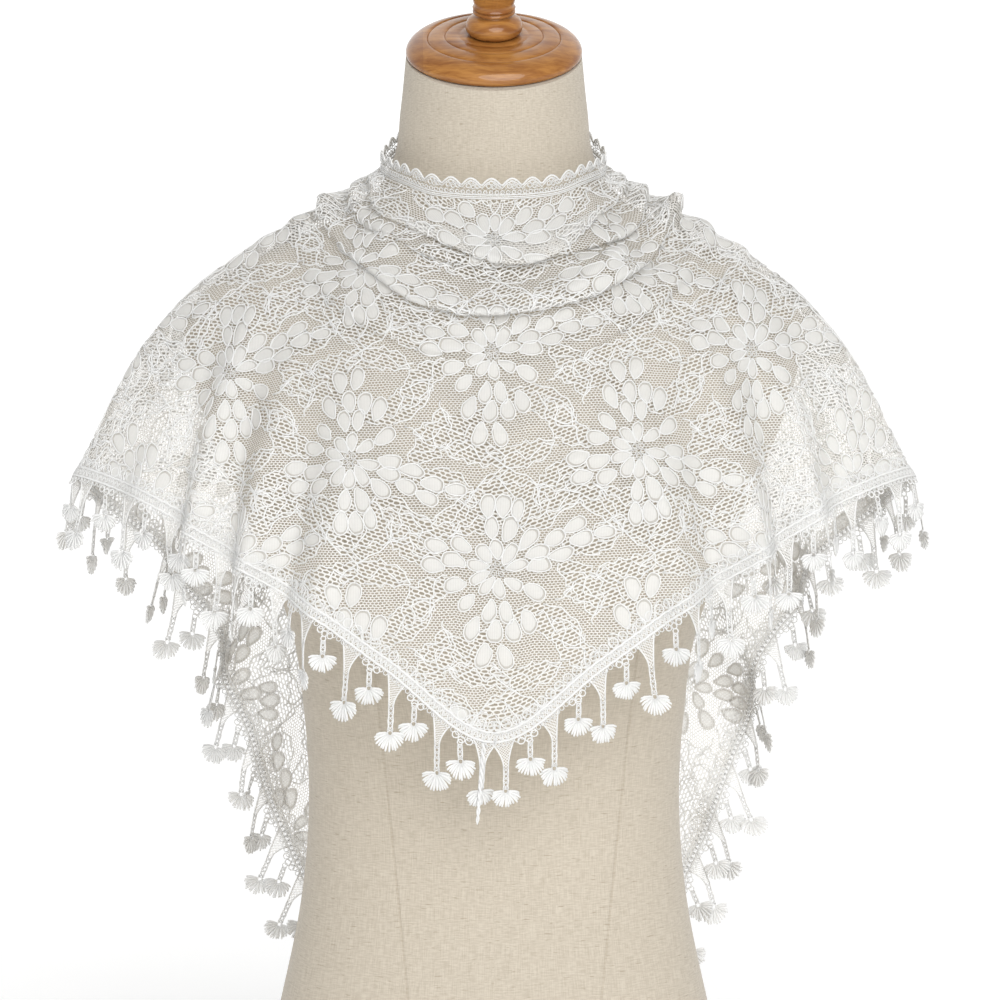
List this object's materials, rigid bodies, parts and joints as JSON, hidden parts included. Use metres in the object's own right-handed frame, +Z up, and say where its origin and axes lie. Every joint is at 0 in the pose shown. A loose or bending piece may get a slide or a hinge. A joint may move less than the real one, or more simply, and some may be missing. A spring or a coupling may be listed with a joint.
{
  "type": "lace prayer veil on a dress form",
  "caption": "Fringed triangular lace veil worn as a cape, its point in front and its ends down the back, on a limbless linen dress form with a turned wooden neck cap.",
  "frame": {"origin": "middle of the flat underside of the dress form", "axes": "+Z up the form's axis, -Y towards the front with the veil's point, +X towards the form's left hand side, which is on the right in a front view"},
  "size_m": [0.5287, 0.2757, 0.7778],
  "materials": {
    "lace": "white net lace with woven flowers",
    "trim": "white guipure edging and fringe",
    "linen": "natural slubbed linen cover",
    "varnished_wood": "glossy brown varnish"
  },
  "bodies": {
    "root": {"veil_front": "lace", "veil_back_left": "lace", "veil_back_right": "lace", "edging_neck": "trim", "edging_tail_left": "trim", "edging_tail_right": "trim", "fringe_front_left": "trim", "fringe_front_right": "trim", "fringe_back_left": "trim", "fringe_back_right": "trim", "form_torso": "linen", "form_cap": "varnished_wood", "form_finial": "varnished_wood"}
  },
  "joints": []
}
